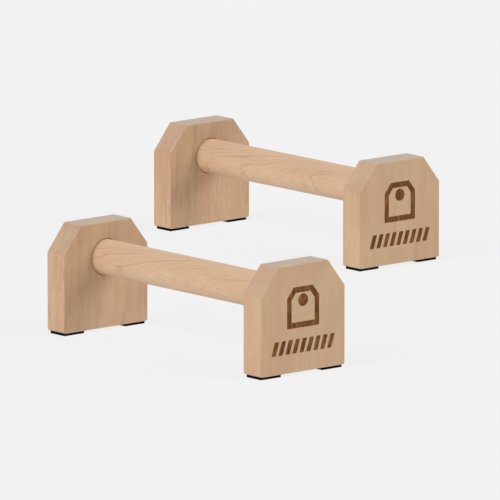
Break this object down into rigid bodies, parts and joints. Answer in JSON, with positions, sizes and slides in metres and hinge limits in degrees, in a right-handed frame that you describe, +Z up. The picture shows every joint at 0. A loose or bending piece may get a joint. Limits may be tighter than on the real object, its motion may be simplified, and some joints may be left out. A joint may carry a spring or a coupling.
{
  "type": "parallel bars",
  "caption": "Pair of low wooden parallel bars for push-ups and handstands, each a round grip bar between end blocks with sloping top corners, on rubber pads.",
  "frame": {"origin": "on the floor, at the middle of the rectangle that holds both stands", "axes": "+X along both bars, towards the front, +Y from the right stand to the left stand, +Z up"},
  "size_m": [0.765, 0.621, 0.122],
  "materials": {
    "block_wood": "pale oiled beech, vertical grain, finely sanded",
    "bar_wood": "pale oiled beech, grain along the bar, finely sanded",
    "pad": "black sheet rubber, matt, fine texture",
    "screw": "zinc plated"
  },
  "bodies": {
    "right_unit": {"right_grip_bar": "bar_wood", "right_front_block": "block_wood", "right_front_screw": "screw", "right_front_outer_pad": "pad", "right_front_inner_pad": "pad", "right_back_block": "block_wood", "right_back_screw": "screw", "right_back_outer_pad": "pad", "right_back_inner_pad": "pad"},
    "left_unit": {"left_grip_bar": "bar_wood", "left_front_block": "block_wood", "left_front_screw": "screw", "left_front_outer_pad": "pad", "left_front_inner_pad": "pad", "left_back_block": "block_wood", "left_back_screw": "screw", "left_back_outer_pad": "pad", "left_back_inner_pad": "pad"}
  },
  "joints": [
    {"name": "bar_spacing", "type": "slide", "parent": "right_unit", "child": "left_unit", "axis": [0, 1, 0], "range_m": [-0.2, 0.07]}
  ]
}
